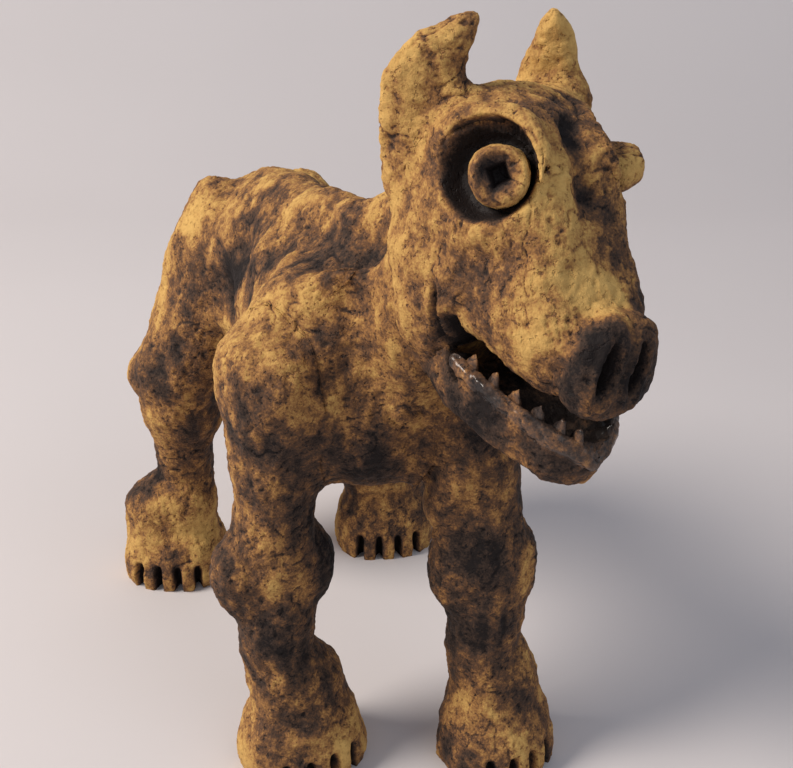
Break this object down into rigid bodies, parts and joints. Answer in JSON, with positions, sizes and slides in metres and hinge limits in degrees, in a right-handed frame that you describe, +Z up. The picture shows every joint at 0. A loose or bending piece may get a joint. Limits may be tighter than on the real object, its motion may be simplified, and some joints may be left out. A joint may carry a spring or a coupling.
{
  "type": "clay beast sculpture",
  "caption": "Hand-built fired-clay beast standing on splayed feet, with a long toothy muzzle, ringed eyes, slab ears and a rough oxide-stained ochre surface.",
  "frame": {"origin": "on the ground, under the middle of the bounding box", "axes": "+Z up, the beast faces -Y and its left side is +X"},
  "size_m": [0.0934, 0.1706, 0.1731],
  "materials": {
    "ochre_clay": "matt, gritty",
    "stained_clay": "matt, stained with brown iron oxide",
    "glossy_clay": "satin, thinly glazed"
  },
  "bodies": {
    "root": {"head": "ochre_clay", "nose": "ochre_clay", "lower_jaw": "ochre_clay", "right_eyeball": "ochre_clay", "left_eyeball": "ochre_clay", "right_brow": "ochre_clay", "left_brow": "ochre_clay", "backbone": "ochre_clay", "front_right_shoulder": "ochre_clay", "front_right_blade": "ochre_clay", "front_right_outer_knee_pad": "ochre_clay", "front_right_inner_knee_pad": "ochre_clay", "front_right_foot": "ochre_clay", "front_left_shoulder": "ochre_clay", "front_left_blade": "ochre_clay", "front_left_outer_knee_pad": "ochre_clay", "front_left_inner_knee_pad": "ochre_clay", "front_left_foot": "ochre_clay", "hind_right_haunch": "ochre_clay", "hind_right_hock": "ochre_clay", "hind_right_foot": "ochre_clay", "hind_left_haunch": "ochre_clay", "hind_left_hock": "ochre_clay", "hind_left_foot": "ochre_clay", "trunk": "stained_clay", "neck": "stained_clay", "tail": "stained_clay", "right_ear": "stained_clay", "left_ear": "stained_clay", "front_right_leg": "stained_clay", "front_left_leg": "stained_clay", "hind_right_shank": "stained_clay", "hind_left_shank": "stained_clay", "lower_lip": "glossy_clay", "tooth_right_1": "glossy_clay", "tooth_right_2": "glossy_clay", "tooth_right_3": "glossy_clay", "tooth_right_4": "glossy_clay", "tooth_right_5": "glossy_clay", "tooth_right_6": "glossy_clay", "tooth_left_1": "glossy_clay", "tooth_left_2": "glossy_clay", "tooth_left_3": "glossy_clay", "tooth_left_4": "glossy_clay", "tooth_left_5": "glossy_clay", "tooth_left_6": "glossy_clay"}
  },
  "joints": []
}
